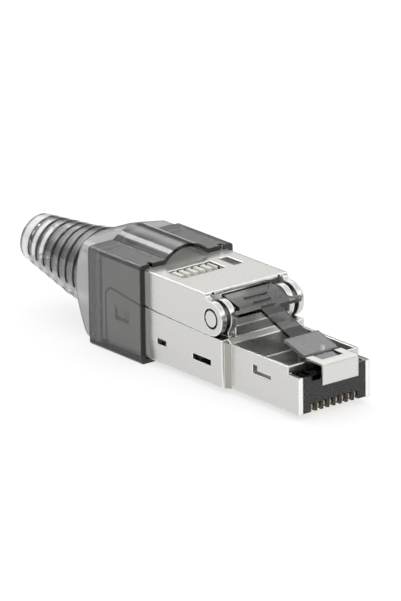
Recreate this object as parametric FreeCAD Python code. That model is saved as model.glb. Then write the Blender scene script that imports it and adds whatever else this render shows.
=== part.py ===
import FreeCAD, Part
import math
import os

from FreeCAD import Vector

# Field termination plug for shielded data cable, in millimetres.
# The plug is worked out with X = 0 at the front edge of the nose's side walls, Y = 0 on the
# middle plane and Z = 0 at the underside of the cast housing. At the end everything moves so
# that the origin lies under the middle of the plug, at the height of its lowest face.
# +X points out of the nose and +Z points up, through the latch.

# Nose, the part that enters the jack
nose_width = 11.68
nose_height = 6.07
nose_wall = 0.65
nose_floor = 0.4
nose_open_underside = 6.0
front_wall_height = 5.05
front_bay_depth = 2.2
cross_wall = 0.3
trough_wall = 0.45
trough_floor_top = 3.05
trough_floor = 0.4
step_bevel = 0.55
step_length = 0.72
corner_mark_rear = 9.43
corner_mark_length = 3.72
corner_mark_low = 3.35
corner_mark_bar = 0.49
corner_mark_leg = 0.93
corner_mark_height = 1.17

# Cast housing behind the nose
body_front = 14.45
body_rear = 38.3
body_width = 13.7
body_foot_width = 13.3
body_taper_height = 2.8
body_wall = 0.95
body_floor = 1.3
deck_height = 6.55
deck_thickness = 0.95
waist_height = 6.88
waist_end = 28.7
saddle_height = 8.0
saddle_bevel = 0.9
rear_chamfer = 0.5
deck_rear = 19.6
parting_gap = 0.08
board_headroom = 0.9

# In the body's sides: two oblong windows and the pocket for the cover's catch
front_mark_rear = 20.6
front_mark_length = 3.85
front_mark_low = 2.53
front_mark_height = 0.8
rear_mark_rear = 28.05
rear_mark_length = 1.9
rear_mark_low = 2.65
rear_mark_height = 0.73
catch_pocket_rear = 36.3
catch_pocket_length = 2.8
catch_pocket_low = 4.05
catch_pocket_height = 2.0
catch_pocket_depth = 0.4

# Hinge between the housing and its lid
hinge_x = -16.7
hinge_z = 8.95
hinge_radius = 2.3
knuckle_inner = 4.4
knuckle_width = 0.85
knuckle_web = 3.2
ear_gap = 0.75
pin_radius = 1.1
pin_press_gap = 0.02
pin_running_gap = 0.05
pin_end_gap = 0.1
pin_ring_radius = 1.4
pin_ring_depth = 0.5
barrel_cut_height = 8.05
knuckle_relief = 0.15

# Lid
lid_top = 12.1
lid_front = 17.85
lid_plate = 1.0
lid_lip = 0.5
lid_lip_depth = 1.4
lid_wall = 0.85
lid_front_wall = 0.75
lid_front_wall_x = 19.05
lip_slit_inner = 5.3
lip_slit_width = 0.35
lip_slit_depth = 0.4
lip_slit_top = 0.12
window_front = 24.6
window_length = 3.45
window_left = -4.9
window_right = 2.0
side_window_left = 3.5
side_window_right = 4.95

# Smoked cover pushed on from behind
cover_front = 30.27
cover_overhang = 3.05
cover_side_wall = 0.77
cover_top_wall = 0.62
cover_gap = 0.13
cover_rear_wall = 1.2
cover_top_round = 0.45
cover_foot_bevel = 0.25
hump_radius = 5.2
hump_centre_z = 9.1
hump_wall = 0.45
cover_notch_inner = 5.7
cover_notch_width = 0.5
cover_notch_length = 0.65
catch_height = 0.09
catch_inset = 0.35

# Latch lever
latch_thickness = 0.42
latch_gap = 0.15
latch_root_half_width = 1.62
latch_root_front = 0.45
latch_root_top = 6.32
latch_root_x = 1.1
latch_bead_radius = 0.6
latch_plate_half_width = 2.85
latch_plate_front = 2.6
latch_plate_front_top = 6.78
latch_plate_step = 0.28
latch_plate_step_length = 0.3
latch_plate_rear = 6.7
latch_plate_rear_top = 7.92
latch_plate_lip = 0.2
latch_tongue_half_width = 1.5
latch_pad_half_width = 3.95
latch_pad_front = 13.0
latch_pad_front_top = 10.12
latch_pad_rear = 18.0
latch_pad_rear_top = 11.38
latch_lobe_half_width = 5.5
latch_lobe_length = 0.82
latch_lobe_slope = 0.6
latch_lobe_flat = 0.1
ridge_height = 0.2
ridge_width = 0.32
ridge_root = 0.2
ridge_first = 13.3
ridge_pitch = 1.3
ridge_half_lengths = (1.1, 1.37, 1.87)

# Stirrup over the latch root
bridge_reach = 1.27
bridge_sheet = 0.35
bridge_half_width = 2.95
bridge_top = 6.7
bridge_flap_bottom = 3.83
bridge_window_half_width = 1.8
bridge_bar = 0.25
bridge_bend = 0.3

# Contacts and the moulded block that carries them
contact_count = 8
contact_pitch = 1.02
contact_width = 0.45
contact_sheet = 0.3
contact_slot_width = 0.62
contact_tail_rear = 12.6
contact_foot_rear = 4.8
contact_setback = 0.35
contact_bend = 0.45
carrier_rear = 5.4
carrier_foot = 0.12
carrier_top = 5.0
carrier_pit = 0.42
carrier_pit_depth = 0.6
carrier_pit_first_x = 1.0
carrier_pit_first_y = 3.75
carrier_pit_pitch_x = 0.72
carrier_pit_pitch_y = 0.95

# Circuit board and wire terminals
board_thickness = 1.0
board_front = 5.9
board_nose_gap = 0.25
terminal_front = 20.2
terminal_rear = 32.8
terminal_top = 6.75
terminal_gap = 0.15
terminal_side_wall = 1.0
terminal_row_wall = 1.6
terminal_relief_floor = 2.0
row_front = 23.3
row_rear = 29.6
blades_per_row = 4
blade_pitch = 2.6
blade_sheet = 0.4
blade_width = 1.9
blade_top = 8.6
blade_fork_depth = 1.9
blade_fork_gap = 0.4
blade_mouth = 0.25
blade_mouth_depth = 0.5
blade_shoulder = 0.4
blade_tail_width = 0.7
blade_gap = 0.03
manager_front = 20.4
manager_rear = 32.6
manager_bottom = 6.95
wire_channel_pitch = 1.18
wire_channel_width = 0.55
wire_channel_depth = 1.3
blade_pocket_gap = 0.2
comb_length = 1.9
comb_gap = 0.15
comb_drop = 0.2

# Cable end: saddle, shield band, collet and bend relief
cable_axis_z = 6.5
saddle_radius = 3.4
saddle_length = 3.0
shield_band = 0.3
shield_gap = 0.03
collet_bore = 2.85
collet_root_radius = 4.7
collet_flange_radius = 5.7
collet_flange = 0.8
collet_setback = 5.2
collet_slit = 0.6
collet_neck = 4.65
collet_gap = 0.08
plate_thickness = 4.25
plate_side_inset = 0.05
plate_foot_step = 0.45
plate_corner = 1.3
plate_dome_centre_z = 7.4
plate_dome_radius = 11.3
boot_length = 16.6
boot_root_radius = 6.0
boot_tip_radius = 3.45
boot_bore = 2.8
boot_root_wall = 1.0
boot_tip_wall = 0.65
boot_bend_start = 6.0
boot_bend_lap = 0.18
boot_root_lap = 1.2
boot_bend_angle = 3.8
boot_end_ring = 2.0
boot_rows_front = 2
boot_rows_rear = 4
boot_row_pitch = 2.05
boot_slot = 0.45
boot_web_top = -14.0
boot_web_bottom = -31.0

# Everything below follows from the sizes above
nose_length = body_front - step_length
skirt_front = -body_rear - parting_gap
lid_rear = body_rear + parting_gap + lid_wall
cover_rear = body_rear + cover_overhang
boot_root = cover_rear + plate_thickness
boot_bend = boot_root + boot_bend_start
boot_tip = boot_root + boot_length
collet_slit_start = cover_rear + collet_neck
collet_tip = boot_tip - collet_setback
nose_half = nose_width / 2
body_half = body_width / 2
lid_half = body_half
lid_neck = lid_top - hinge_z - hinge_radius
cover_reach = body_half + cover_gap
cover_half = cover_reach + cover_side_wall
cover_top = lid_top + cover_gap + cover_top_wall
cover_bottom = -cover_gap - cover_top_wall
board_bottom = body_floor
board_top = board_bottom + board_thickness
manager_top = lid_top - lid_plate
inner_half = body_half - body_wall
ear_inner = knuckle_inner + knuckle_width + ear_gap
trough_underside = trough_floor_top - trough_floor
tub_rear = -body_rear + saddle_length + body_wall
board_rear = -tub_rear - board_nose_gap
latch_root_z = carrier_top + latch_gap + latch_bead_radius
contact_ceiling = board_bottom
lobe_round = (latch_lobe_length - latch_lobe_flat) / 2
barrel_front = hinge_x + math.sqrt(hinge_radius**2 - (hinge_z - barrel_cut_height) ** 2)
near = 1e-4

os.makedirs("parts", exist_ok=True)
built = {}


def block(x_rear, x_front, y_low, y_high, z_low, z_high):
    """A straight-sided stretch between two X, two Y and two Z values."""
    size = (x_front - x_rear, y_high - y_low, z_high - z_low)
    return Part.makeBox(*size, Vector(x_rear, y_low, z_low))


def across(points, y_low, y_high):
    """A side outline, a closed list of (x, z) points, carried across from y_low to y_high."""
    corners = [Vector(x, y_low, z) for x, z in points]
    face = Part.Face(Part.makePolygon(corners + corners[:1]))
    return face.extrude(Vector(0, y_high - y_low, 0))


def along(points, x_rear, x_front):
    """An end outline, a closed list of (y, z) points, carried from x_rear to x_front."""
    corners = [Vector(x_rear, y, z) for y, z in points]
    face = Part.Face(Part.makePolygon(corners + corners[:1]))
    return face.extrude(Vector(x_front - x_rear, 0, 0))


def barrel(radius, y_low, y_high, x=hinge_x, z=hinge_z):
    """A round bar across the plug, on the hinge axis unless told otherwise."""
    return Part.makeCylinder(radius, y_high - y_low, Vector(x, y_low, z), Vector(0, 1, 0))


def both_sides(shape):
    """The shape and its mirror image in the middle plane."""
    return [shape, shape.mirror(Vector(0, 0, 0), Vector(0, 1, 0))]


def edges_along_x(shape, test, x_rear, x_front):
    """The straight edges parallel to X that lie between two planes and pass the test (y, z)."""
    found = []
    for edge in shape.Edges:
        box = edge.BoundBox
        straight = box.YLength < near and box.ZLength < near
        inside = box.XMin > x_rear - near and box.XMax < x_front + near
        if straight and inside and test(box.YMin, box.ZMin):
            found.append(edge)
    return found


def contact_offsets():
    """The middle planes of the contacts, from the left side to the right."""
    middle = (contact_count - 1) / 2
    return [(index - middle) * contact_pitch for index in range(contact_count)]


def blade_places():
    """The (x, y) places of the wire terminals, the front row first."""
    middle = (blades_per_row - 1) / 2
    rows = (-row_front, -row_rear)
    return [(x, (index - middle) * blade_pitch) for x in rows for index in range(blades_per_row)]


def parting_line(lift):
    """The line between housing and lid, from the front to the back, raised by lift."""
    places = [
        (-body_front, deck_height),
        (-lid_front, deck_height),
        (-waist_end, waist_height),
        (-body_rear + saddle_bevel, saddle_height),
        (-body_rear, saddle_height - saddle_bevel),
    ]
    return [(x, z + lift) for x, z in places]


def cable_bore(radius, x_rear, x_front):
    """The round way of the cable through the back of the plug."""
    return Part.makeCylinder(radius, x_front - x_rear, Vector(x_rear, 0, cable_axis_z), Vector(1, 0, 0))


def housing_block():
    """The outside of the cast body: its side outline, drawn in at the foot."""
    foot = [(-body_rear, rear_chamfer), (-body_rear + rear_chamfer, 0), (-body_front, 0)]
    side = across(parting_line(0) + foot, -body_half, body_half)
    foot_half = body_foot_width / 2
    right = [(foot_half, 0), (body_half, body_taper_height), (body_half, lid_top)]
    left = [(-y, z) for y, z in reversed(right)]
    return side.common(along(right + left, -body_rear, -body_front))


def nose_shell():
    """The hollow nose: side walls, the trough under the latch and the open front bay."""
    rear = -body_front - body_wall
    step = [(rear, 0), (0, 0), (0, front_wall_height), (-front_bay_depth, front_wall_height)]
    outline = step + [(-front_bay_depth, nose_height), (rear, nose_height)]
    shell = across(outline, -nose_half, nose_half)
    trough_half = nose_half - trough_wall
    trough_front = -front_bay_depth - cross_wall
    bay_half = nose_half - nose_wall
    notch_half = latch_plate_half_width + latch_gap
    cuts = [
        block(-nose_length, trough_front, -trough_half, trough_half, trough_floor_top, nose_height),
        block(-front_bay_depth, 0, -bay_half, bay_half, 0, nose_height),
        block(rear, 0, -bay_half, bay_half, nose_floor, trough_underside),
        block(-nose_open_underside, 0, -bay_half, bay_half, 0, nose_floor),
        block(trough_front, -front_bay_depth, -notch_half, notch_half, carrier_top, nose_height),
    ]
    cuts += both_sides(corner_mark())
    return shell.cut(cuts)


def corner_mark():
    """The corner-shaped window through one side wall of the nose."""
    back, low = -corner_mark_rear, corner_mark_low
    front, high, top = back + corner_mark_length, low + corner_mark_bar, low + corner_mark_height
    leg = back + corner_mark_leg
    outline = [(back, low), (front, low), (front, high), (leg, high), (leg, top), (back, top)]
    return across(outline, -nose_half, -nose_half + nose_wall)


def step_wedge():
    """The slanted faces that lead from the nose's sides out to the wider body."""
    outline = [
        (-nose_half, -nose_length),
        (-nose_half, -body_front),
        (-nose_half - step_bevel, -body_front),
    ]
    corners = [Vector(x, y, 0) for y, x in outline]
    face = Part.Face(Part.makePolygon(corners + corners[:1]))
    return face.extrude(Vector(0, 0, nose_height))


def deck_lip():
    """The slope that leads from the deck down to the top of the nose."""
    outline = [(-body_front, nose_height), (-nose_length, nose_height), (-body_front, deck_height)]
    return across(outline, -nose_half, nose_half)


def side_marks():
    """The two oblong windows and the ramped catch pocket in one side of the body."""
    face_y = -body_half
    marks = []
    for rear, length, low, height in (
        (front_mark_rear, front_mark_length, front_mark_low, front_mark_height),
        (rear_mark_rear, rear_mark_length, rear_mark_low, rear_mark_height),
    ):
        marks.append(block(-rear, -rear + length, face_y, face_y + body_wall, low, low + height))
    low, high = catch_pocket_low, catch_pocket_low + catch_pocket_height
    ramp = [(face_y, low), (face_y + catch_pocket_depth, low), (face_y, high)]
    return marks + [along(ramp, -catch_pocket_rear, -catch_pocket_rear + catch_pocket_length)]


def lower_housing():
    """The cast base: nose, tub, hinge knuckles and cable saddle in one piece."""
    shape = housing_block().fuse([nose_shell(), deck_lip()] + both_sides(step_wedge()))
    tub_front, tub_end = -deck_rear, -body_front - body_wall
    bay_half = nose_half - nose_wall
    hollows = [
        block(tub_rear, tub_front, -inner_half, inner_half, body_floor, lid_top),
        block(tub_front, tub_end, -inner_half, inner_half, body_floor, board_top + board_headroom),
        block(tub_end, -nose_length, -bay_half, bay_half, body_floor, trough_underside),
        cable_bore(saddle_radius, -body_rear, tub_rear),
        block(-body_rear, tub_rear, -saddle_radius, saddle_radius, cable_axis_z, lid_top),
    ]
    shape = shape.cut(hollows)
    shape = shape.fuse([hinge_bar()] + both_sides(knuckle()))
    holes = both_sides(barrel(pin_radius + pin_press_gap, knuckle_inner, ear_inner))
    marks = []
    for mark in side_marks():
        marks += both_sides(mark)
    return shape.cut(holes + marks).removeSplitter()


def hinge_bar():
    """The low bar between the knuckles: a barrel cut flat on top, its front dropped to the deck."""
    low = deck_height - deck_thickness
    rear, front = hinge_x - hinge_radius, hinge_x + hinge_radius
    kept = block(rear, front, -knuckle_inner, knuckle_inner, low, barrel_cut_height)
    apron = block(hinge_x, barrel_front, -knuckle_inner, knuckle_inner, low, barrel_cut_height)
    return barrel(hinge_radius, -knuckle_inner, knuckle_inner).common(kept).fuse(apron)


def knuckle():
    """One upright hinge knuckle of the base, a round eye on a web."""
    outer = knuckle_inner + knuckle_width
    rear, front = hinge_x - knuckle_web / 2, hinge_x + knuckle_web / 2
    web = block(rear, front, knuckle_inner, outer, deck_height - deck_thickness, hinge_z)
    return barrel(hinge_radius, knuckle_inner, outer).fuse(web)


def lid_outline():
    """The lid's side outline: over the parting line, down behind the base, up and forward."""
    line = [point for point in parting_line(parting_gap) if point[0] < hinge_x]
    low = [(hinge_x, deck_height + parting_gap)] + line[:-1]
    skirt = [(skirt_front, line[-1][1]), (skirt_front, rear_chamfer), (-lid_rear, rear_chamfer)]
    neck_front = -lid_front + lid_neck
    high = [(-lid_rear, lid_top), (neck_front, lid_top), (neck_front, lid_top - lid_neck)]
    return low + skirt + high + [(hinge_x, lid_top - lid_neck)]


def hinge_lid():
    """The cast lid: top plate, side walls, a skirt that forks over the cable, two hinge ears."""
    shell = across(lid_outline(), -lid_half, lid_half)
    lid_inner = lid_half - lid_wall
    underside = lid_top - lid_plate
    front_wall_rear = -lid_front_wall_x - lid_front_wall
    lip_rear = -lid_front - lid_lip_depth
    hollows = [
        block(skirt_front, front_wall_rear, -lid_inner, lid_inner, 0, underside),
        block(-lid_front_wall_x, 0, -ear_inner, ear_inner, 0, lid_top - lid_lip),
        block(lip_rear, 0, -knuckle_inner, knuckle_inner, 0, lid_top - lid_lip),
        block(front_wall_rear, 0, -ear_inner, ear_inner, 0, barrel_cut_height + knuckle_relief),
        block(-lid_front, 0, -ear_inner, ear_inner, 0, lid_top),
        barrel(lid_neck, -lid_half, lid_half, -lid_front + lid_neck, lid_top),
        cable_bore(saddle_radius, -lid_rear, skirt_front),
        block(-lid_rear, skirt_front, -saddle_radius, saddle_radius, 0, cable_axis_z),
    ]
    for left, right in ((window_left, window_right), (side_window_left, side_window_right)):
        hollows.append(block(-window_front - window_length, -window_front, left, right, 0, lid_top))
    slit_low, slit_high = lip_slit_inner, lip_slit_inner + lip_slit_width
    slit = block(-lid_front - lip_slit_depth, -lid_front, slit_low, slit_high, 0, lid_top - lip_slit_top)
    hollows += both_sides(slit)
    ears = both_sides(barrel(hinge_radius, ear_inner, lid_half))
    shell = shell.cut(hollows).fuse(ears)
    swing = both_sides(barrel(hinge_radius + knuckle_relief, knuckle_inner - ear_gap, ear_inner))
    holes = both_sides(barrel(pin_radius + pin_running_gap, ear_inner, lid_half))
    rings = both_sides(barrel(pin_ring_radius, lid_half - pin_ring_depth, lid_half))
    return shell.cut(swing + holes + rings).removeSplitter()


def hinge_pin(side):
    """One short hinge pin, flush with the ear's face and pressed into the knuckle."""
    pin = barrel(pin_radius, knuckle_inner + pin_end_gap, lid_half)
    return pin if side > 0 else both_sides(pin)[1]


def latch_top_line():
    """The lever's upper face from root to thumb pad, as (x, z) points."""
    front, rear = -latch_plate_front, -latch_plate_rear
    return [
        (-latch_root_front, latch_root_top),
        (front + latch_plate_step_length / 2, latch_plate_front_top - latch_plate_step),
        (front - latch_plate_step_length / 2, latch_plate_front_top),
        (rear, latch_plate_rear_top),
        (rear, latch_plate_rear_top - latch_plate_lip),
        (-latch_pad_front, latch_pad_front_top),
        (-latch_pad_rear, latch_pad_rear_top),
    ]


def latch_plan():
    """The lever seen from above: root, wide plate, tongue and thumb pad with its two lobes."""
    root, plate = latch_root_half_width, latch_plate_half_width
    tongue, pad, lobe = latch_tongue_half_width, latch_pad_half_width, latch_lobe_half_width
    lobe_rear = -latch_pad_front - latch_lobe_length
    half = [
        (-latch_root_front, root),
        (-latch_plate_front, root),
        (-latch_plate_front, plate),
        (-latch_plate_rear, plate),
        (-latch_plate_rear, tongue),
        (-latch_pad_front, tongue),
        (-latch_pad_front, lobe),
        (lobe_rear, lobe),
        (lobe_rear, knuckle_inner),
        (lobe_rear - latch_lobe_slope, pad),
        (-latch_pad_rear, pad),
    ]
    corners = [Vector(x, y, 0) for x, y in half + [(x, -y) for x, y in reversed(half)]]
    plan = Part.Face(Part.makePolygon(corners + corners[:1])).extrude(Vector(0, 0, lid_top))
    rounded = []
    for edge in plan.Edges:
        box = edge.BoundBox
        upright = box.XLength < near and box.YLength < near
        if upright and abs(box.YMin) > lobe - lobe_round:
            rounded.append(edge)
    return plan.makeFillet(lobe_round, rounded)


def latch_lever():
    """The springy lever: one strip of even thickness cut to its plan, with three grip ridges."""
    top = latch_top_line()
    low = [(x, z - latch_thickness) for x, z in reversed(top)]
    strip = across(top + low, -latch_lobe_half_width, latch_lobe_half_width)
    lever = strip.common(latch_plan())
    root = latch_root_half_width
    bead = barrel(latch_bead_radius, -root, root, -latch_root_x, latch_root_z)
    ridges = []
    for index, half_length in enumerate(ridge_half_lengths):
        ridges.append(grip_ridge(-ridge_first - index * ridge_pitch, half_length))
    return lever.fuse([bead] + ridges).removeSplitter()


def grip_ridge(x, half_length):
    """One raised bar across the thumb pad, lying on its sloping face."""
    front, back = latch_top_line()[-2:]
    slope = (back[1] - front[1]) / (back[0] - front[0])
    z = front[1] + slope * (x - front[0])
    half = ridge_width / 2
    foot = [(x - half, z - ridge_root), (x + half, z - ridge_root)]
    crest = [(x + half / 2, z + ridge_height), (x - half / 2, z + ridge_height)]
    return across(foot + crest, -half_length, half_length)


def latch_bridge():
    """The bent sheet stirrup: two arms, a front bar and the flap over the nose."""
    low, inner = bridge_top - bridge_sheet, bridge_reach - bridge_sheet
    arm = [(-front_bay_depth, bridge_top), (-front_bay_depth, low), (inner, low)]
    flap = [(inner, bridge_flap_bottom), (bridge_reach, bridge_flap_bottom), (bridge_reach, bridge_top)]
    sheet = across(arm + flap, -bridge_half_width, bridge_half_width)
    bend = [edge for edge in sheet.Edges if edge.BoundBox.XMin > inner and edge.BoundBox.ZMin > low]
    sheet = sheet.makeFillet(bridge_bend, bend)
    half = bridge_window_half_width
    window = block(-front_bay_depth, -bridge_bar, -half, half, low, bridge_top)
    return sheet.cut(window)


def contact_carrier():
    """The moulded block in the nose, with a comb of slots for the contacts."""
    half = nose_half - nose_wall
    tower = block(-front_bay_depth, 0, -half, half, carrier_foot, carrier_top)
    base = block(-carrier_rear, -front_bay_depth, -half, half, carrier_foot, trough_underside)
    seat = latch_seat()
    slots = []
    for y in contact_offsets():
        low, high = y - contact_slot_width / 2, y + contact_slot_width / 2
        slots.append(block(-carrier_rear, 0, low, high, 0, contact_ceiling))
    return tower.fuse([base] + seat).cut(slots + carrier_pits()).removeSplitter()


def carrier_pits():
    """The four small core pits in the carrier's top at each side of the stirrup."""
    pits = []
    for x in (-carrier_pit_first_x, -carrier_pit_first_x - carrier_pit_pitch_x):
        for y in (carrier_pit_first_y, carrier_pit_first_y + carrier_pit_pitch_y):
            x_front, y_high = x + carrier_pit, y + carrier_pit
            pits += both_sides(block(x, x_front, y, y_high, carrier_top - carrier_pit_depth, carrier_top))
    return pits


def latch_seat():
    """Two pads that carry the stirrup's arms, and the front stop behind its bar."""
    low, high = carrier_top, bridge_top - bridge_sheet
    inner = latch_root_half_width + latch_gap
    arm = block(-front_bay_depth, -bridge_bar, inner, bridge_half_width, low, high)
    bar = block(-bridge_bar, 0, -bridge_half_width, bridge_half_width, low, high)
    return both_sides(arm) + [bar]


def contact(y):
    """One sprung contact: a strip that runs forward, turns down at the front and back underneath."""
    half = contact_sheet / 2
    outer, inner = contact_bend + half, contact_bend - half
    bend = Vector(-contact_setback - outer, y - contact_width / 2, contact_ceiling - outer)

    def place(x, radius, turn):
        return Vector(x + radius * math.cos(turn), bend.y, bend.z + radius * math.sin(turn))

    def turned(radius):
        ends = [place(bend.x, radius, turn) for turn in (math.pi / 2, 0, -math.pi / 2)]
        return Part.Arc(*ends).toShape()

    def straight(rear, turn):
        ends = [place(bend.x, outer, turn), place(rear, outer, turn), place(rear, inner, turn)]
        ends.append(place(bend.x, inner, turn))
        return [Part.LineSegment(a, b).toShape() for a, b in zip(ends, ends[1:])]

    edges = [turned(outer), turned(inner)]
    edges += straight(-contact_tail_rear, math.pi / 2) + straight(-contact_foot_rear, -math.pi / 2)
    profile = Part.Face(Part.Wire(Part.__sortEdges__(edges)))
    return profile.extrude(Vector(0, contact_width, 0))


def circuit_board():
    """The board that joins contacts and terminals: a narrow tongue in the nose, wide behind."""
    tongue_half = nose_half - nose_wall - board_nose_gap
    wide_half = inner_half - board_nose_gap
    tongue = block(-body_front - body_wall, -board_front, -tongue_half, tongue_half, board_bottom, board_top)
    wide = block(-board_rear, -body_front - body_wall, -wide_half, wide_half, board_bottom, board_top)
    holes = []
    for x, y in blade_places():
        holes.append(blade_slot(x, y, blade_tail_width, board_bottom, board_top))
    return tongue.fuse(wide).cut(holes).removeSplitter()


def blade_slot(x, y, width, z_low, z_high):
    """The way for one terminal through a board or block, with its clearance."""
    half_sheet = blade_sheet / 2 + blade_gap
    half_width = width / 2 + blade_gap
    return block(x - half_sheet, x + half_sheet, y - half_width, y + half_width, z_low, z_high)


def idc_blade(x, y):
    """One insulation-piercing terminal: a fork with a flared mouth, on a narrow tail."""
    half, gap, tail = blade_width / 2, blade_fork_gap / 2, blade_tail_width / 2
    right = [
        (tail, board_bottom),
        (tail, board_top),
        (half, board_top),
        (half, blade_top - blade_shoulder),
        (half - blade_mouth, blade_top),
        (gap + blade_mouth, blade_top),
        (gap, blade_top - blade_mouth_depth),
        (gap, blade_top - blade_fork_depth),
    ]
    outline = [(y + across_y, z) for across_y, z in right]
    outline += [(y - across_y, z) for across_y, z in reversed(right)]
    return along(outline, x - blade_sheet / 2, x + blade_sheet / 2)


def terminal_block():
    """The moulded block on the board that holds the terminals upright."""
    half = inner_half - board_nose_gap
    body = block(-terminal_rear, -terminal_front, -half, half, board_top, terminal_top)
    side = half - terminal_side_wall
    rear, front = -row_rear + terminal_row_wall, -row_front - terminal_row_wall
    middle = block(rear, front, -side, side, board_top + terminal_relief_floor, terminal_top)
    slots = []
    for x, y in blade_places():
        slots.append(blade_slot(x, y, blade_width, board_top, terminal_top))
    return body.cut([middle] + slots)


def wire_manager():
    """The moulded comb that lays the wires over the terminals and rises into the lid's window."""
    half = lid_half - lid_wall - terminal_gap
    body = block(-manager_rear, -manager_front, -half, half, manager_bottom, manager_top)
    rear = -window_front - window_length + comb_gap
    left, right = window_left + comb_gap, window_right - comb_gap
    comb = block(rear, rear + comb_length, left, right, manager_top, lid_top - comb_drop)
    cuts = []
    lanes = int(2 * half / wire_channel_pitch)
    channel_bottom = manager_top - wire_channel_depth
    for index in range(lanes):
        y = (index - (lanes - 1) / 2) * wire_channel_pitch
        low, high = y - wire_channel_width / 2, y + wire_channel_width / 2
        cuts.append(block(-manager_rear, -manager_front, low, high, channel_bottom, lid_top))
    half_width = blade_width / 2 + blade_pocket_gap
    half_sheet = blade_sheet / 2 + blade_pocket_gap
    pocket_top = blade_top + blade_pocket_gap
    for x, y in blade_places():
        low, high = y - half_width, y + half_width
        cuts.append(block(x - half_sheet, x + half_sheet, low, high, manager_bottom, pocket_top))
    return body.fuse(comb).cut(cuts).removeSplitter()


def shield_clip():
    """The half-round metal band in the saddle that touches the cable's braid."""
    outer = saddle_radius - shield_gap
    band = cable_bore(outer, -body_rear + body_wall, tub_rear)
    band = band.cut(cable_bore(outer - shield_band, -body_rear, 0))
    return band.cut(block(-body_rear, 0, -body_half, body_half, cable_axis_z, lid_top))


def cover_hump(radius, x_rear):
    """The arch along the cover's top, from the open front back to x_rear."""
    length = -cover_front - x_rear
    return Part.makeCylinder(radius, length, Vector(x_rear, 0, hump_centre_z), Vector(1, 0, 0))


def rear_cover():
    """The smoked sleeve: open at the front, arched on top, with a round hole behind."""
    outer = block(-cover_rear, -cover_front, -cover_half, cover_half, cover_bottom, cover_top)
    top_edges = edges_along_x(outer, lambda y, z: z > cover_top - near, -cover_rear, -cover_front)
    outer = outer.makeFillet(cover_top_round, top_edges)
    foot_edges = edges_along_x(outer, lambda y, z: z < cover_bottom + near, -cover_rear, -cover_front)
    outer = outer.makeChamfer(cover_foot_bevel, foot_edges)
    wall_front = -cover_rear + cover_rear_wall
    outer = outer.fuse(cover_hump(hump_radius, -cover_rear))
    inside = block(wall_front, -cover_front, -cover_reach, cover_reach, -cover_gap, lid_top + cover_gap)
    tunnel = cover_hump(hump_radius - hump_wall, wall_front)
    hole = cable_bore(collet_root_radius + collet_gap, -cover_rear, wall_front)
    notch_high = cover_notch_inner + cover_notch_width
    notch_rear = -cover_front - cover_notch_length
    notch = block(notch_rear, -cover_front, cover_notch_inner, notch_high, lid_top, cover_top)
    shell = outer.cut([inside, tunnel, hole] + both_sides(notch))
    return shell.fuse(both_sides(catch_nub())).removeSplitter()


def catch_nub():
    """The low ramp inside one wall of the cover that drops into the body's catch pocket."""
    low = catch_pocket_low + catch_inset
    high = catch_pocket_low + catch_pocket_height - catch_inset
    outline = [(-cover_reach, low), (-cover_reach + catch_height, low), (-cover_reach, high)]
    rear = -catch_pocket_rear + catch_inset
    return along(outline, rear, rear + catch_pocket_length - 2 * catch_inset)


def cable_collet():
    """The split sleeve that grips the cable: a flange inside the cover and four fingers."""
    wall_front = -cover_rear + cover_rear_wall
    tip_rise = (collet_tip - boot_bend) * math.tan(math.radians(boot_bend_angle))
    tip_radius = boot_inner_radius(-collet_tip) - tip_rise - collet_gap
    profile = [
        (wall_front + collet_flange, collet_bore),
        (wall_front + collet_flange, collet_flange_radius),
        (wall_front, collet_flange_radius),
        (wall_front, collet_root_radius),
        (-collet_slit_start, collet_root_radius),
        (-collet_tip, tip_radius),
        (-collet_tip, collet_bore),
    ]
    corners = [Vector(x, 0, cable_axis_z + r) for x, r in profile]
    face = Part.Face(Part.makePolygon(corners + corners[:1]))
    sleeve = face.revolve(Vector(0, 0, cable_axis_z), Vector(1, 0, 0), 360)
    half, far = collet_slit / 2, collet_flange_radius
    low, high = cable_axis_z - far, cable_axis_z + far
    slits = [
        block(-collet_tip, -collet_slit_start, -half, half, low, high),
        block(-collet_tip, -collet_slit_start, -far, far, cable_axis_z - half, cable_axis_z + half),
    ]
    return sleeve.cut(slits)


def boot_radius(x):
    """The boot's outer radius at x, straight from root to tip."""
    share = (-boot_root - x) / (boot_tip - boot_root)
    return boot_root_radius + share * (boot_tip_radius - boot_root_radius)


def boot_inner_radius(x):
    """The radius inside the boot's cone at x, under a wall that thins towards the tip."""
    share = (-boot_root - x) / (boot_tip - boot_root)
    return boot_radius(x) - boot_root_wall - share * (boot_tip_wall - boot_root_wall)


def bent(shape):
    """The shape turned with the boot's rear half, which rises from the bend towards the tip."""
    turned = shape.copy()
    turned.rotate(Vector(-boot_bend, 0, cable_axis_z), Vector(0, 1, 0), boot_bend_angle)
    return turned


def boot_cone(radius_at, x_front, x_rear):
    """A cone around the cable between two places, its radius given by a rule."""
    start = Vector(x_front, 0, cable_axis_z)
    return Part.makeCone(radius_at(x_front), radius_at(x_rear), x_front - x_rear, start, Vector(-1, 0, 0))


def boot_plate():
    """The plate behind the cover: a slab with round corners, its back cut to a wide dome."""
    half = cover_half - plate_side_inset
    slab = block(-boot_root, -cover_rear, -half, half, cover_bottom + plate_foot_step, cover_top)
    corners = edges_along_x(slab, lambda y, z: True, -boot_root, -cover_rear)
    slab = slab.makeFillet(plate_corner, corners)
    centre = Vector(-cover_rear, 0, plate_dome_centre_z)
    dome = Part.makeCone(plate_dome_radius, boot_root_radius, plate_thickness, centre, Vector(-1, 0, 0))
    return slab.common(dome)


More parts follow.
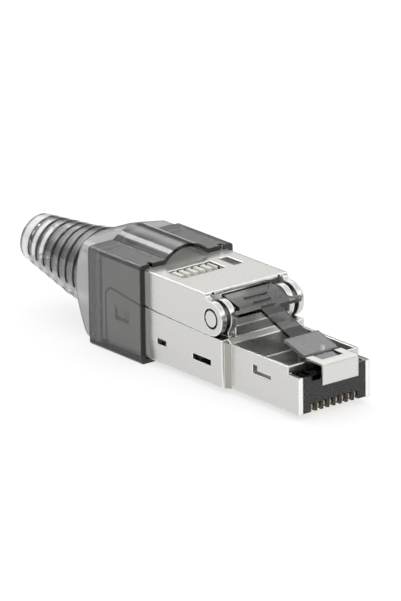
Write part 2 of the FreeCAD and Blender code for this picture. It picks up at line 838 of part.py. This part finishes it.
def kink_boot():
    """The flexible bend relief: a domed plate and a slotted cone that bends upwards a little."""
    ring_x = -boot_tip + boot_end_ring
    web_end = -boot_bend - boot_bend_lap
    front = boot_cone(boot_radius, -boot_root + boot_root_lap, web_end)
    rear = bent(boot_cone(boot_radius, -boot_bend, -boot_tip))
    root_bore = cable_bore(boot_root_radius - boot_root_wall, -boot_root, -cover_rear)
    hollows = [
        root_bore,
        boot_cone(boot_inner_radius, -boot_root, web_end),
        bent(boot_cone(boot_inner_radius, -boot_bend, ring_x)),
        bent(cable_bore(boot_bore, -boot_tip, ring_x)),
    ]
    shape = boot_plate().fuse([front, rear]).cut(hollows)
    return shape.cut(boot_slots()).removeSplitter()


def boot_slots():
    """The rows of slots, one over the top and one under, with webs left at both sides."""
    upper = (boot_web_top, 180 - 2 * boot_web_top)
    lower = (180 - boot_web_bottom, 180 + 2 * boot_web_bottom)
    cutters = []
    for row in range(-boot_rows_front, boot_rows_rear + 1):
        x = -boot_bend - row * boot_row_pitch
        for start, sweep in (upper, lower):
            cutter = ring_sector(x, start, sweep)
            cutters.append(bent(cutter) if row > 0 else cutter)
    return cutters


def ring_sector(x, start, sweep):
    """A thin pie slice square to the cable at x, its angles counted from +Y up towards +Z."""
    reach = boot_root_radius + boot_root_wall
    cutter = Part.makeCylinder(reach, boot_slot, Vector(0, 0, 0), Vector(0, 0, 1), sweep)
    cutter.rotate(Vector(0, 0, 0), Vector(0, 0, 1), start)
    around_x = FreeCAD.Rotation(Vector(1, 1, 1), 120)
    stand = FreeCAD.Placement(Vector(x - boot_slot / 2, 0, cable_axis_z), around_x)
    cutter.Placement = stand.multiply(cutter.Placement)
    return cutter


built["lower_housing"] = lower_housing()
built["hinge_lid"] = hinge_lid()
built["hinge_pin_left"] = hinge_pin(-1)
built["hinge_pin_right"] = hinge_pin(1)
built["latch_lever"] = latch_lever()
built["latch_bridge"] = latch_bridge()
built["contact_carrier"] = contact_carrier()
for number, offset in enumerate(contact_offsets(), 1):
    built[f"contact_{number}"] = contact(offset)
built["circuit_board"] = circuit_board()
built["terminal_block"] = terminal_block()
for number, (blade_x, blade_y) in enumerate(blade_places(), 1):
    built[f"idc_blade_{number}"] = idc_blade(blade_x, blade_y)
built["wire_manager"] = wire_manager()
built["shield_clip"] = shield_clip()
built["rear_cover"] = rear_cover()
built["cable_collet"] = cable_collet()
built["kink_boot"] = kink_boot()

turn = math.radians(boot_bend_angle)
rear_reach = -boot_bend - (boot_tip - boot_bend) * math.cos(turn) - boot_tip_radius * math.sin(turn)
to_origin = Vector(-(bridge_reach + rear_reach) / 2, 0, -cover_bottom)
for name, shape in built.items():
    shape.translate(to_origin)
    solids = shape.Solids
    print(f"{name:18s} solids {len(solids)} valid {shape.isValid()} volume {shape.Volume:9.3f} mm3")
    body = solids[0] if len(solids) == 1 else Part.makeCompound(solids)
    body.exportStep(f"parts/{name}.step")
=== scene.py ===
import math

import bpy
from mathutils import Matrix, Vector


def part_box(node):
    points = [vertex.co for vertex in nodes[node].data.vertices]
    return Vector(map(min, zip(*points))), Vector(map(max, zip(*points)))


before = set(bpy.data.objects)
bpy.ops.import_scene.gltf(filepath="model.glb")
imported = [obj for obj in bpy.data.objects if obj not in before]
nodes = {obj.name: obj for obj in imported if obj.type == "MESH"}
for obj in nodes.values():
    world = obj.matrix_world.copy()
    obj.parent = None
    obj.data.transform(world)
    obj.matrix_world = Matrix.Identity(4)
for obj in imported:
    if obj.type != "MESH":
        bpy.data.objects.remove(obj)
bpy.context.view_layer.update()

# A field termination plug for shielded data cable: nickel-plated cast housing and lid, smoked
# polycarbonate cover and latch, clear grey bend relief. Everything is in metres.

mm = 0.001

# The photograph's frame and the lens that looks at the plug
image_height = 601
camera_azimuth = math.radians(51.722)
camera_elevation = math.radians(18.774)
camera_roll = math.radians(-0.698)
camera_distance = 800 * mm
pixels_per_mm = 7.683
aim_behind_nose = 20 * mm
aim_above_floor = 6.75 * mm
aim_right = -4.649 * mm
aim_up = 2.951 * mm
sensor_height_mm = 36.0
nearest_seen = 0.05
farthest_seen = 20

# Places on the pieces that the finishes are measured from
nose_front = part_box("lower_housing")[1].x
contact_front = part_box("contact_1")[1].x
latch_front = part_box("latch_lever")[1].x
cover_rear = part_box("rear_cover")[0].x
cover_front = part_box("rear_cover")[1].x
cover_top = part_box("rear_cover")[1].z

# Where the nickel's finishes and its painted light and shade change
polished_below = 6.75 * mm
windows_below = 4.8 * mm
lid_lip_above = 10.4 * mm
nose_lip = 1.0 * mm
rubbed_fully = 0.3 * mm
rubbed_at_all = 1.3 * mm
hidden_until = 0.5 * mm

# Where the plastics' finishes change
cover_overhang = 2.4 * mm
hump_rise = 1.5 * mm
foot_height = 0.75 * mm
plate_setback = 2.15 * mm
plate_length = 4.1 * mm
pad_setback = 12.5 * mm
boot_plate = 4.2 * mm
boot_milk = 2.52 * mm
contact_tip = 0.1 * mm
tip_fade = 0.15 * mm

# Lengths over which one finish turns into the next
crisp = 0.05 * mm
quick = 0.1 * mm
gentle = 0.2 * mm

# Nickel plate where it is tumbled, and its painted highlights, shade and reflections
tumbled = "CFCECB"
# Painted highlights on the front lips and along the edges
lip_painted_highlight = "F4F4F0"
edge_painted_highlight = "FAFAF8"
# Painted shade on the drawn-in step, and in the seams, lighter below the window line
step_painted_shade = "A2A29A"
seam_painted_shade = "2C2C29"
window_painted_shade = "B4B4AC"
# Painted shade and painted reflection, in cloudy patches on the bay floors
bay_painted_shade = "303030"
bay_painted_reflection = "9A9A96"

# Nickel plate under the cover: painted light on the sides, painted shade on tops and along edges
hidden_side_painted_light = "E4E4E0"
hidden_top_painted_shade = "C2C2BE"
hidden_edge_painted_shade = "101010"

# See-through plastic: what it lets pass after a depth, how its skin tints it, and its painted shade
smoke_tint = "0C0C0C"
clear_skin = "FFFFFF"
smoke_edge_painted_shade = "181818"
smoke_painted_shade = "080808"
boot_skin = "EEEFEF"
boot_edge_painted_shade = "202020"

# Gold plate, and the paler colour on the contacts' tips
gold_plate = "D9AE62"
pale_tip = "D6C8A8"

# Roughness of the finishes, from the smoothest spot to the roughest
satin_roughness = (0.26, 0.3)
gold_roughness = (0.36, 0.46)
boot_roughness = (0.04, 0.09)
polished_roughness = 0.1
rubbed_roughness = 0.6

# How far the grain takes a roughness from its middle value, as the least and most times it
plating_stray = (0.93, 1.07)
mould_stray = (0.85, 1.2)
smoke_stray = (0.7, 1.3)

# Sizes of the grain, its bumps and the rounded edges, in millimetres
metal_grain_mm = 0.6
metal_bump_mm = 0.0002
gold_grain_mm = 0.3
mould_grain_mm = 0.3
mould_bump_mm = 0.003
smoke_grain_mm = 0.8
boot_grain_mm = 1.2
boot_edge_mm = 0.5
casting_edge_mm = 0.3
# The size and contrast of the bay floors' cloudy patches of painted shade and reflection
bay_patch_mm = 3.5
bay_patch_contrast = (-0.6, 1.6)

# How see-through plastic bends light, and the share of it that passes a clear or milky skin
polycarbonate_index = 1.58
usual_index = 1.5
frosted_passes = 0.84
cone_passes = 0.9
plate_passes = 0.62
boot_depth_mm = 5.2

# How much of the painted shade or frost each place takes, and of a metal's mirror the thin gold has
hump_shade = 0.45
stem_shade = 0.6
cover_frosting = 0.4
thin_gold = 0.6

# A seam: how far the look around reaches, and the clear share there that is shut and open
seam_reach = 0.45 * mm
seam_clearness = (0.5, 0.82)

# Cosines between a face and the way it should look: 0 at the first and 1 at the second
loosely = (0.9, 0.95)
closely = (0.97, 0.99)
edge_lean = (0.988, 0.95)

# Directions that the nickel's faces look along
upward = (0, 0, 1)
forward = (1, 0, 0)
step_way = (0.6, 0.8, 0)

# Rays for rounded edges, edge lines and seams
round_samples = 8
mask_samples = 6


def hex_colour(code):
    """An sRGB hex colour as linear red, green, blue and alpha."""
    parts = [int(code[i : i + 2], 16) / 255 for i in (0, 2, 4)]
    return [p / 12.92 if p <= 0.04045 else ((p + 0.055) / 1.055) ** 2.4 for p in parts] + [1.0]


def add(tree, kind, inputs=None, **settings):
    """One shader node with its settings.

    An input, by name or number, is a constant, or (node, output) to link.
    """
    node = tree.nodes.new(kind)
    for name, value in settings.items():
        setattr(node, name, value)
    for name, value in (inputs or {}).items():
        if isinstance(value, tuple) and isinstance(value[0], bpy.types.Node):
            tree.links.new(value[0].outputs[value[1]], node.inputs[name])
        else:
            node.inputs[name].default_value = value
    return node


def new_material(name):
    """An empty node material, its tree and its output node."""
    material = bpy.data.materials.new(name)
    material.use_nodes = True
    tree = material.node_tree
    tree.nodes.clear()
    output = add(tree, "ShaderNodeOutputMaterial")
    return material, tree, output


def skin(tree, output, inputs):
    """The surface's own shader, joined to the material's output."""
    shader = add(tree, "ShaderNodeBsdfPrincipled", inputs)
    tree.links.new(shader.outputs["BSDF"], output.inputs["Surface"])


def smoky_depth(tree, output, pass_mm):
    """A tint that deepens with depth: light is cut to it after pass_mm of plastic."""
    tint = {"Color": hex_colour(smoke_tint), "Density": 1 / (pass_mm * mm)}
    depth = add(tree, "ShaderNodeVolumeAbsorption", tint)
    tree.links.new(depth.outputs["Volume"], output.inputs["Volume"])


def grain(tree, size_mm, detail=3.0, roughness=0.55):
    """Fractal noise on the piece's own coordinates, with features about size_mm across."""
    place = add(tree, "ShaderNodeTexCoord")
    return add(
        tree,
        "ShaderNodeTexNoise",
        {"Vector": (place, "Object"), "Scale": 1 / (size_mm * mm), "Detail": detail, "Roughness": roughness},
    )


def ramp(tree, source, start, end, low=0.0, high=1.0, curve="LINEAR"):
    """The source's range from start to end carried to the range from low to high."""
    ends = {"Value": source, "From Min": start, "From Max": end, "To Min": low, "To Max": high}
    return add(tree, "ShaderNodeMapRange", ends, interpolation_type=curve)


def between(tree, source, low, high):
    """The source's 0 to 1 carried to the range from low to high."""
    return ramp(tree, source, 0.0, 1.0, low, high)


def spread(tree, noise, middle, less, more):
    """The noise as a number that strays from less to more times its middle value."""
    return between(tree, (noise, "Fac"), middle * less, middle * more)


def along(tree, axis, start, end, low=0.0, high=1.0):
    """A ramp from low to high between two places along the piece's X, Y or Z."""
    place = add(tree, "ShaderNodeTexCoord")
    split = add(tree, "ShaderNodeSeparateXYZ", {"Vector": (place, "Object")})
    return ramp(tree, (split, axis), start, end, low, high)


def joined(tree, operation, one, other):
    """Two masks or numbers taken together by one sum."""
    return add(tree, "ShaderNodeMath", {0: (one, 0), 1: (other, 0)}, operation=operation)


def agreement(tree, one, other):
    """The cosine between two directions."""
    return add(tree, "ShaderNodeVectorMath", {0: one, 1: other}, operation="DOT_PRODUCT")


# Sockets of a Mix node for colours: its mask and the two colours going in, and the one coming out
mix_mask = 0
mix_plain = 6
mix_marked = 7
mixed_colour = 2


def mixed(tree, mask, plain, marked):
    """The plain colour where the mask is 0 and the marked one where it is 1.

    Either colour is a hex code or another mix.
    """
    colours = [(hex_colour(c) if isinstance(c, str) else (c, mixed_colour)) for c in (plain, marked)]
    inputs = {mix_mask: (mask, 0), mix_plain: colours[0], mix_marked: colours[1]}
    return add(tree, "ShaderNodeMix", inputs, data_type="RGBA")


def rounded_edge(tree, radius_mm):
    """The normal that an edge of this radius would have."""
    return add(tree, "ShaderNodeBevel", {"Radius": radius_mm * mm}, samples=round_samples)


def bumped(tree, noise, height_mm, edge=None):
    """The noise as small bumps, on the rounded edges where there are any."""
    inputs = {"Height": (noise, "Fac"), "Distance": height_mm * mm, "Strength": 1.0}
    if edge:
        inputs["Normal"] = (edge, "Normal")
    return add(tree, "ShaderNodeBump", inputs)


def edge_mask(tree, radius_mm):
    """0 on flat ground and 1 at a sharp edge: how far the rounded normal leans off the face's."""
    leaning = add(tree, "ShaderNodeBevel", {"Radius": radius_mm * mm}, samples=mask_samples)
    face = add(tree, "ShaderNodeNewGeometry")
    agree = agreement(tree, (leaning, "Normal"), (face, "True Normal"))
    return ramp(tree, (agree, "Value"), *edge_lean)


def seam_mask(tree, edge):
    """1 in the open and 0 in a seam: how much of the rounded normal's view is clear nearby."""
    inputs = {"Distance": seam_reach, "Normal": (edge, "Normal")}
    view = add(tree, "ShaderNodeAmbientOcclusion", inputs, samples=mask_samples)
    return ramp(tree, (view, "AO"), *seam_clearness)


def facing(tree, wanted, limits):
    """1 where the face looks along the wanted direction on either side of the plug, else 0."""
    face = add(tree, "ShaderNodeNewGeometry")
    folded = add(tree, "ShaderNodeVectorMath", {0: (face, "True Normal")}, operation="ABSOLUTE")
    agree = agreement(tree, (folded, "Vector"), wanted)
    return ramp(tree, (agree, "Value"), *limits)


def satin_nickel():
    """Nickel plate on a zinc casting, tumbled satin: a metal's mirror, softened by the tumbling.

    The outside has worn-round edges and front lips that get painted highlights. The seams get painted
    shade, lighter below the window line, and the drawn-in step gets painted shade. The flat floors of
    the latch bay are polished, with cloudy patches of painted shade and painted reflection. The cover's
    rim has rubbed a matt band in front of it. Under the cover the sides get painted light, the tops
    painted shade and the edges near-black painted lines.
    """
    material, tree, output = new_material("satin_nickel_on_cast_zinc")
    noise = grain(tree, metal_grain_mm, detail=2.0)
    edge = rounded_edge(tree, casting_edge_mm)

    # The bay's floors are low and look up
    looks_up = facing(tree, upward, loosely)
    low_down = along(tree, "Z", polished_below + quick, polished_below - quick)
    bay = joined(tree, "MULTIPLY", low_down, looks_up)

    # How rough: satin, then the rubbed band, then the polished floors
    satin = between(tree, (noise, "Fac"), *satin_roughness)
    rubbed = along(tree, "X", cover_front + rubbed_at_all, cover_front + rubbed_fully)
    worn = between(tree, (rubbed, 0), (satin, 0), rubbed_roughness)
    rough = between(tree, (bay, 0), (worn, 0), polished_roughness)

    # Painted highlight on the front lips: those of the lid, which lies high, and of the nose
    lid_lip = along(tree, "Z", lid_lip_above, lid_lip_above + quick)
    front_lip = along(tree, "X", nose_front - nose_lip - quick, nose_front - nose_lip)
    either = joined(tree, "MAXIMUM", lid_lip, front_lip)
    lip = joined(tree, "MULTIPLY", either, facing(tree, forward, closely))

    # The outside's colours, then those under the cover
    corners = edge_mask(tree, casting_edge_mm)
    # Painted highlights: near-white on the front lips and along the edges
    body = mixed(tree, corners, mixed(tree, lip, tumbled, lip_painted_highlight), edge_painted_highlight)
    # Painted shade on the drawn-in step
    body = mixed(tree, facing(tree, step_way, closely), body, step_painted_shade)
    # Cloudy patches of painted shade and painted reflection on the bay floors
    cloud = between(tree, (grain(tree, bay_patch_mm, detail=1.0), "Fac"), *bay_patch_contrast)
    body = mixed(tree, bay, body, mixed(tree, cloud, bay_painted_shade, bay_painted_reflection))
    # Painted shade in the seams: dark, and lighter below the window line
    in_windows = along(tree, "Z", windows_below, windows_below - quick)
    seams = mixed(tree, in_windows, seam_painted_shade, window_painted_shade)
    outside = mixed(tree, seam_mask(tree, edge), seams, body)
    # Under the cover: painted light on the sides, painted shade on the tops, near-black painted shade on
    # edges
    hidden = mixed(tree, corners, mixed(tree, looks_up, hidden_side_painted_light, hidden_top_painted_shade), hidden_edge_painted_shade)
    out_of_cover = along(tree, "X", cover_front + hidden_until, cover_front + hidden_until + quick)
    colour = mixed(tree, out_of_cover, hidden, outside)

    look = {
        "Base Color": (colour, mixed_colour),
        "Metallic": 1.0,
        "Roughness": (rough, 0),
        "Normal": (bumped(tree, noise, metal_bump_mm, edge), "Normal"),
    }
    skin(tree, output, look)
    return material


def plated_metal(name, colour, roughness, edge_mm=0.15):
    """Metal plating: a metal's mirror, softened by a fine grain, with worn-round edges.

    The seams get a dark painted shade.
    """
    material, tree, output = new_material(name)
    noise = grain(tree, metal_grain_mm, detail=2.0)
    edge = rounded_edge(tree, edge_mm)
    look = {
        # Painted shade in the seams
        "Base Color": (mixed(tree, seam_mask(tree, edge), seam_painted_shade, colour), mixed_colour),
        "Metallic": 1.0,
        "Roughness": (spread(tree, noise, roughness, *plating_stray), 0),
        "Normal": (bumped(tree, noise, metal_bump_mm, edge), "Normal"),
    }
    skin(tree, output, look)
    return material


def gold_contacts():
    """Gold over nickel on spring bronze, paler at the blade's front tip."""
    material, tree, output = new_material("gold_on_spring_bronze")
    noise = grain(tree, gold_grain_mm, detail=2.0)
    tip_start = contact_front - contact_tip
    tip = along(tree, "X", tip_start - tip_fade, tip_start)
    look = {
        "Base Color": (mixed(tree, tip, gold_plate, pale_tip), mixed_colour),
        "Metallic": thin_gold,
        "Roughness": (between(tree, (noise, "Fac"), *gold_roughness), 0),
    }
    skin(tree, output, look)
    return material


def moulded_plastic(name, colour, roughness):
    """Opaque moulded plastic: a dielectric coat of gloss over a solid colour, faintly eroded."""
    material, tree, output = new_material(name)
    noise = grain(tree, mould_grain_mm)
    look = {
        "Base Color": hex_colour(colour),
        "Roughness": (spread(tree, noise, roughness, *mould_stray), 0),
        "IOR": usual_index,
        "Normal": (bumped(tree, noise, mould_bump_mm), "Normal"),
    }
    skin(tree, output, look)
    return material


def smoked_plastic(name, pass_mm, roughness, edge_mm=0.5, shade=None, frost=None):
    """Smoked polycarbonate off a polished tool: gloss and refraction at the skin, tint in depth.

    Its edges get a painted near-black line, standing for light that an edge bends away from the eye.
    Where shade is 1 the plastic gets painted near-black shade too, and where frost is 1 its skin is
    textured and scatters light.
    """
    material, tree, output = new_material(name)
    noise = grain(tree, smoke_grain_mm)
    # Painted near-black shade along the edges
    colour = mixed(tree, edge_mask(tree, edge_mm), clear_skin, smoke_edge_painted_shade)
    # Painted near-black shade where shade is 1
    if shade:
        colour = mixed(tree, shade(tree), colour, smoke_painted_shade)
    look = {
        "Base Color": (colour, mixed_colour),
        "Roughness": (spread(tree, noise, roughness, *smoke_stray), 0),
        "IOR": polycarbonate_index,
        "Transmission Weight": 1.0,
    }
    if frost:
        look["Transmission Weight"] = (between(tree, (frost(tree), 0), 1.0, frosted_passes), 0)
    skin(tree, output, look)
    smoky_depth(tree, output, pass_mm)
    return material


def boot_elastomer():
    """Clear grey moulded elastomer, such as a soft polyurethane off a polished tool.

    The cone is clear, so it shows what lies behind. The plate at its root was never polished, so it
    is milky, and its moulded edges get a painted dark line, standing for light bent away from the eye.
    """
    material, tree, output = new_material("clear_grey_elastomer")
    noise = grain(tree, boot_grain_mm)
    # Painted dark shade along the moulded edges
    colour = mixed(tree, edge_mask(tree, boot_edge_mm), boot_skin, boot_edge_painted_shade)
    clear = along(tree, "X", cover_rear - boot_plate, cover_rear - boot_milk, cone_passes, plate_passes)
    look = {
        "Base Color": (colour, mixed_colour),
        "Roughness": (between(tree, (noise, "Fac"), *boot_roughness), 0),
        "IOR": usual_index,
        "Transmission Weight": (clear, 0),
    }
    skin(tree, output, look)
    smoky_depth(tree, output, boot_depth_mm)
    return material


def cover_shade(tree):
    """Painted near-black shade on the cover's hump, front rim and foot."""
    hump_start = cover_top - hump_rise
    hump = along(tree, "Z", hump_start, hump_start + quick, high=hump_shade)
    foot = along(tree, "Z", foot_height + quick, foot_height)
    rim = along(tree, "X", cover_front - quick, cover_front - crisp)
    return joined(tree, "MAXIMUM", joined(tree, "MAXIMUM", hump, foot), rim)


def cover_frost(tree):
    """The cover's rear end behind the metal body, lightly textured inside by its core."""
    end = cover_rear + cover_overhang
    return along(tree, "X", end + gentle, end - gentle, high=cover_frosting)


def latch_shade(tree):
    """Painted near-black shade on the latch's root, deep under the bridge, and on its narrow stem."""
    plate_front = latch_front - plate_setback
    plate_rear = plate_front - plate_length
    pad_front = latch_front - pad_setback
    root = along(tree, "X", plate_front + quick, plate_front + gentle)
    before_pad = along(tree, "X", pad_front, pad_front + gentle)
    behind_plate = along(tree, "X", plate_rear, plate_rear - gentle, high=stem_shade)
    return joined(tree, "MAXIMUM", joined(tree, "MULTIPLY", before_pad, behind_plate), root)


def plate_frost(tree):
    """The latch's plate in front of the stem, which is textured."""
    plate_front = latch_front - plate_setback
    plate_rear = plate_front - plate_length
    start = along(tree, "X", plate_rear - crisp, plate_rear + crisp)
    end = along(tree, "X", plate_front + crisp, plate_front - crisp)
    return joined(tree, "MULTIPLY", start, end)


# Finishes
nickel = satin_nickel()
pin_steel = plated_metal("ground_steel_pin", "D0D0CC", roughness=0.2)
sheet_nickel = plated_metal("nickel_on_bent_sheet", "D6D6D2", roughness=0.3)
tin = plated_metal("tin_on_terminal_bronze", "C9C6BC", roughness=0.3, edge_mm=0.04)
gold = gold_contacts()
cover_smoke = smoked_plastic(
    "smoked_polycarbonate", pass_mm=1.4, roughness=0.1, shade=cover_shade, frost=cover_frost
)
latch_smoke = smoked_plastic(
    "deep_smoked_polycarbonate",
    pass_mm=0.6,
    roughness=0.04,
    edge_mm=0.15,
    shade=latch_shade,
    frost=plate_frost,
)
carrier_smoke = smoked_plastic("dark_smoked_polycarbonate", pass_mm=0.35, roughness=0.05)
clear_grey = boot_elastomer()
grey_acetal = moulded_plastic("grey_acetal", "6A6A6A", roughness=0.3)
board_mask = moulded_plastic("green_solder_mask", "1E4A2C", roughness=0.35)
grey_nylon = moulded_plastic("grey_glass_filled_nylon", "A2A29A", roughness=0.5)
light_nylon = moulded_plastic("light_nylon", "D9D8D0", roughness=0.45)

finishes = {
    "lower_housing": nickel,
    "hinge_lid": nickel,
    "hinge_pin_left": pin_steel,
    "hinge_pin_right": pin_steel,
    "latch_bridge": sheet_nickel,
    "latch_lever": latch_smoke,
    "contact_carrier": carrier_smoke,
    "circuit_board": board_mask,
    "terminal_block": grey_nylon,
    "wire_manager": light_nylon,
    "shield_clip": tin,
    "rear_cover": cover_smoke,
    "cable_collet": grey_acetal,
    "kink_boot": clear_grey,
}
for way in range(1, 9):
    finishes[f"contact_{way}"] = gold
    finishes[f"idc_blade_{way}"] = tin
for name, material in finishes.items():
    nodes[name].data.materials.clear()
    nodes[name].data.materials.append(material)


def floor():
    """The pale matt table that the plug lies on, lit through from below, as wide as every view."""
    half = 3.0
    grain_mm = 0.5
    roughness = (0.75, 0.9)
    glow = 0.69
    mesh = bpy.data.meshes.new("table_top")
    corners = [(-half, -half, 0), (half, -half, 0), (half, half, 0), (-half, half, 0)]
    mesh.from_pydata(corners, [], [(0, 1, 2, 3)])
    table = bpy.data.objects.new("table_top", mesh)
    bpy.context.scene.collection.objects.link(table)
    material, tree, output = new_material("matt_white_table")
    look = {
        "Base Color": hex_colour("949494"),
        "Roughness": (between(tree, (grain(tree, grain_mm), "Fac"), *roughness), 0),
        "Emission Color": hex_colour("FFFFFF"),
        "Emission Strength": glow,
    }
    skin(tree, output, look)
    mesh.materials.append(material)


def surroundings():
    """A soft white room that is dim near the table, bright at a slant and softer overhead.

    Heights are sines of the angle above the table.
    """
    dim = 0.2
    bright = 2.1
    overhead_loss = -1.1
    slant = (0.24, 0.46)
    overhead = (0.52, 0.66)
    world = bpy.data.worlds.new("pale_studio")
    bpy.context.scene.world = world
    world.use_nodes = True
    tree = world.node_tree
    tree.nodes.clear()
    direction = add(tree, "ShaderNodeTexCoord")
    split = add(tree, "ShaderNodeSeparateXYZ", {"Vector": (direction, "Generated")})
    rise = ramp(tree, (split, "Z"), *slant, dim, bright, curve="SMOOTHSTEP")
    fall = ramp(tree, (split, "Z"), *overhead, 0.0, overhead_loss, curve="SMOOTHSTEP")
    strength = joined(tree, "ADD", rise, fall)
    sky = add(tree, "ShaderNodeBackground", {"Color": hex_colour("FFFFFF"), "Strength": (strength, 0)})
    add(tree, "ShaderNodeOutputWorld", {"Surface": (sky, "Background")})
    bpy.context.scene.view_settings.view_transform = "Standard"


def soft_box():
    """A square soft box at the left rear, which draws the streak on the cover's hump."""
    place = Vector((-0.89, 0.06, 0.795))
    side = 0.22
    watts = 0.8
    light = bpy.data.lights.new("left_rear_box", "AREA")
    light.shape = "RECTANGLE"
    light.size = side
    light.size_y = side
    light.energy = watts
    lamp = bpy.data.objects.new("left_rear_box", light)
    lamp.location = place
    lamp.rotation_euler = place.to_track_quat("Z", "Y").to_euler()
    bpy.context.scene.collection.objects.link(lamp)


def camera():
    """The photograph's view: a long lens to the plug's left front, set by three angles and an aim."""
    azimuth, elevation, roll = camera_azimuth, camera_elevation, camera_roll
    back = Vector(
        (
            math.sin(azimuth) * math.cos(elevation),
            -math.cos(azimuth) * math.cos(elevation),
            math.sin(elevation),
        )
    )
    level = Vector((math.cos(azimuth), math.sin(azimuth), 0))
    upright = back.cross(level)
    right = level * math.cos(roll) + upright * math.sin(roll)
    up = upright * math.cos(roll) - level * math.sin(roll)
    aim = Vector((nose_front - aim_behind_nose, 0, aim_above_floor))
    place = aim + back * camera_distance + right * aim_right + up * aim_up
    lens = bpy.data.cameras.new("photo_camera")
    lens.sensor_fit = "VERTICAL"
    lens.sensor_height = sensor_height_mm
    focal_pixels = pixels_per_mm / mm * camera_distance
    lens.lens = focal_pixels / image_height * sensor_height_mm
    lens.clip_start = nearest_seen
    lens.clip_end = farthest_seen
    holder = bpy.data.objects.new("photo_camera", lens)
    frame_axes = Matrix((right, up, back)).transposed().to_4x4()
    holder.matrix_world = Matrix.Translation(place) @ frame_axes
    bpy.context.scene.collection.objects.link(holder)
    bpy.context.scene.camera = holder


floor()
surroundings()
soft_box()
camera()
